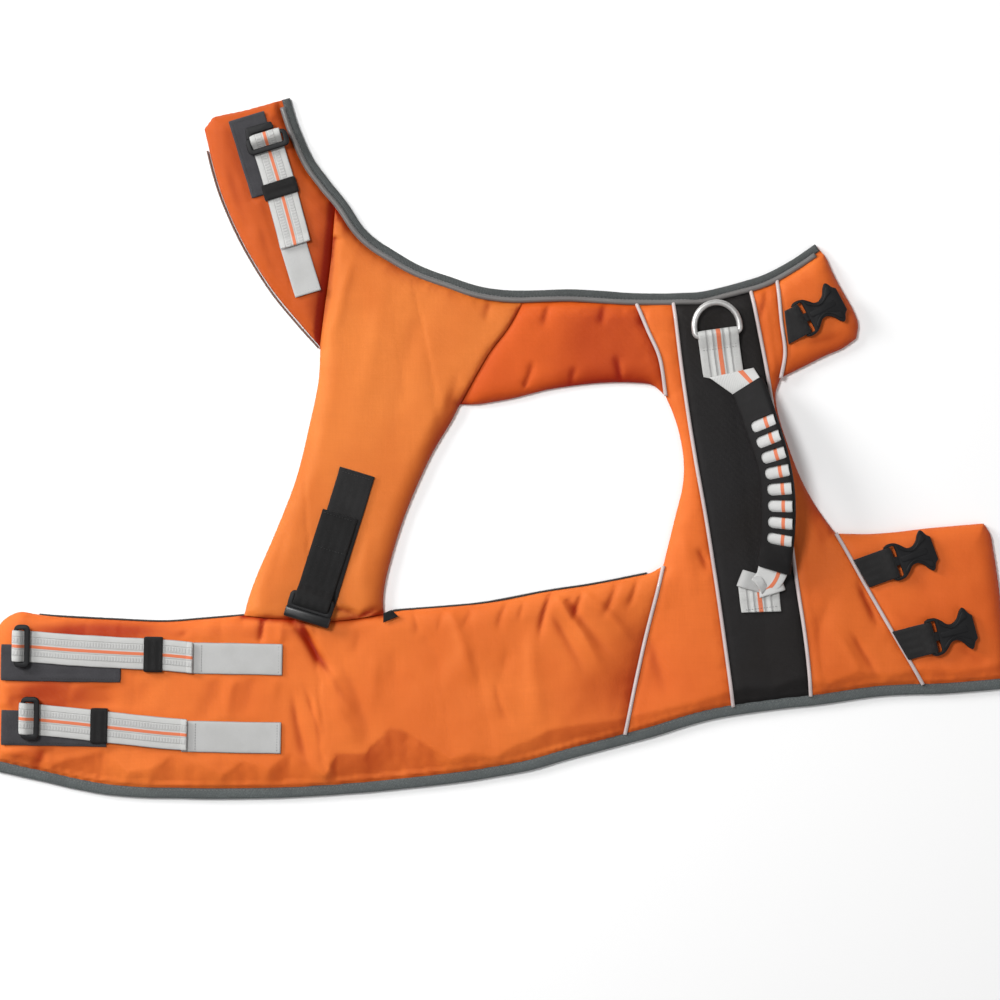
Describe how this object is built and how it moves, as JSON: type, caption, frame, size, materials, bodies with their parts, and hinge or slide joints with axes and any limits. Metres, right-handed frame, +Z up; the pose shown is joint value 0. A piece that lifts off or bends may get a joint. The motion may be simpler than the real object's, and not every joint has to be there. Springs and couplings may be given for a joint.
{
  "type": "dog life jacket",
  "caption": "Padded dog life jacket laid open and flat, with a back handle, a lead ring, adjuster straps and side release buckles.",
  "frame": {"origin": "middle of the opened jacket's box, on the surface it lies on", "axes": "+Y towards the neck, +X towards the side with the buckles, +Z up off the surface"},
  "size_m": [0.8106, 0.5614, 0.0425],
  "materials": {
    "orange_nylon": "smooth coated nylon, satin",
    "black_nylon": "matt nylon",
    "grey_binding": "ribbed tape, matt",
    "reflective_piping": "reflective piping, satin",
    "striped_webbing": "woven webbing with an orange stripe",
    "grey_webbing": "woven webbing, plain",
    "dark_tape": "woven tape, matt",
    "black_webbing": "woven webbing, matt",
    "black_plastic": "moulded, satin",
    "nickel": "plated, bright",
    "black_rubber": "moulded, matt"
  },
  "bodies": {
    "jacket": {"wing_left": "orange_nylon", "chest_panel": "orange_nylon", "neck_band": "orange_nylon", "back_left": "orange_nylon", "back_right": "orange_nylon", "wing_right": "orange_nylon", "belly_left": "orange_nylon", "belly_right": "orange_nylon", "back_centre": "black_nylon", "neck_binding": "grey_binding", "hem_binding": "grey_binding", "leg_edging": "grey_binding", "wing_edging": "grey_binding", "belly_edging": "grey_binding", "neck_piping": "reflective_piping", "piping_1": "reflective_piping", "piping_2": "reflective_piping", "piping_3": "reflective_piping", "piping_4": "reflective_piping", "piping_5": "reflective_piping", "piping_6": "reflective_piping", "neck_strap_webbing": "striped_webbing", "belly_upper_webbing": "striped_webbing", "belly_lower_webbing": "striped_webbing", "ring_webbing": "striped_webbing", "handle_webbing": "striped_webbing", "handle_anchor": "striped_webbing", "neck_strap_plain": "grey_webbing", "belly_upper_plain": "grey_webbing", "belly_lower_plain": "grey_webbing", "neck_strap_base": "dark_tape", "belly_upper_base": "dark_tape", "belly_lower_base": "dark_tape", "neck_strap_keeper": "black_webbing", "belly_upper_keeper": "black_webbing", "belly_lower_keeper": "black_webbing", "chest_tape": "black_webbing", "chest_webbing": "black_webbing", "leg_tab": "black_webbing", "neck_buckle_webbing": "black_webbing", "belly_buckle_1_webbing": "black_webbing", "belly_buckle_2_webbing": "black_webbing", "neck_strap_slider": "black_plastic", "belly_upper_slider": "black_plastic", "belly_lower_slider": "black_plastic", "chest_slider": "black_plastic", "handle_sleeve": "black_rubber"},
    "d_ring": {"d_ring": "nickel"},
    "neck_buckle": {"neck_buckle": "black_plastic"},
    "belly_buckle_1": {"belly_buckle_1": "black_plastic"},
    "belly_buckle_2": {"belly_buckle_2": "black_plastic"}
  },
  "joints": [
    {"name": "d_ring_swing", "type": "hinge", "parent": "jacket", "child": "d_ring", "pos_m": [0.17314, 0.0913, 0.01555], "axis": [0.9903, 0.1392, 0], "range_deg": [0, 150]},
    {"name": "neck_buckle_turn", "type": "hinge", "parent": "jacket", "child": "neck_buckle", "pos_m": [0.23974, 0.1025, 0.01465], "axis": [0.4695, -0.8829, 0], "range_deg": [0, 110]},
    {"name": "belly_buckle_1_turn", "type": "hinge", "parent": "jacket", "child": "belly_buckle_1", "pos_m": [0.31164, -0.0915, 0.01465], "axis": [0.342, -0.9397, 0], "range_deg": [0, 110]},
    {"name": "belly_buckle_2_turn", "type": "hinge", "parent": "jacket", "child": "belly_buckle_2", "pos_m": [0.34314, -0.1512, 0.01465], "axis": [0.2588, -0.9659, 0], "range_deg": [0, 110]}
  ]
}
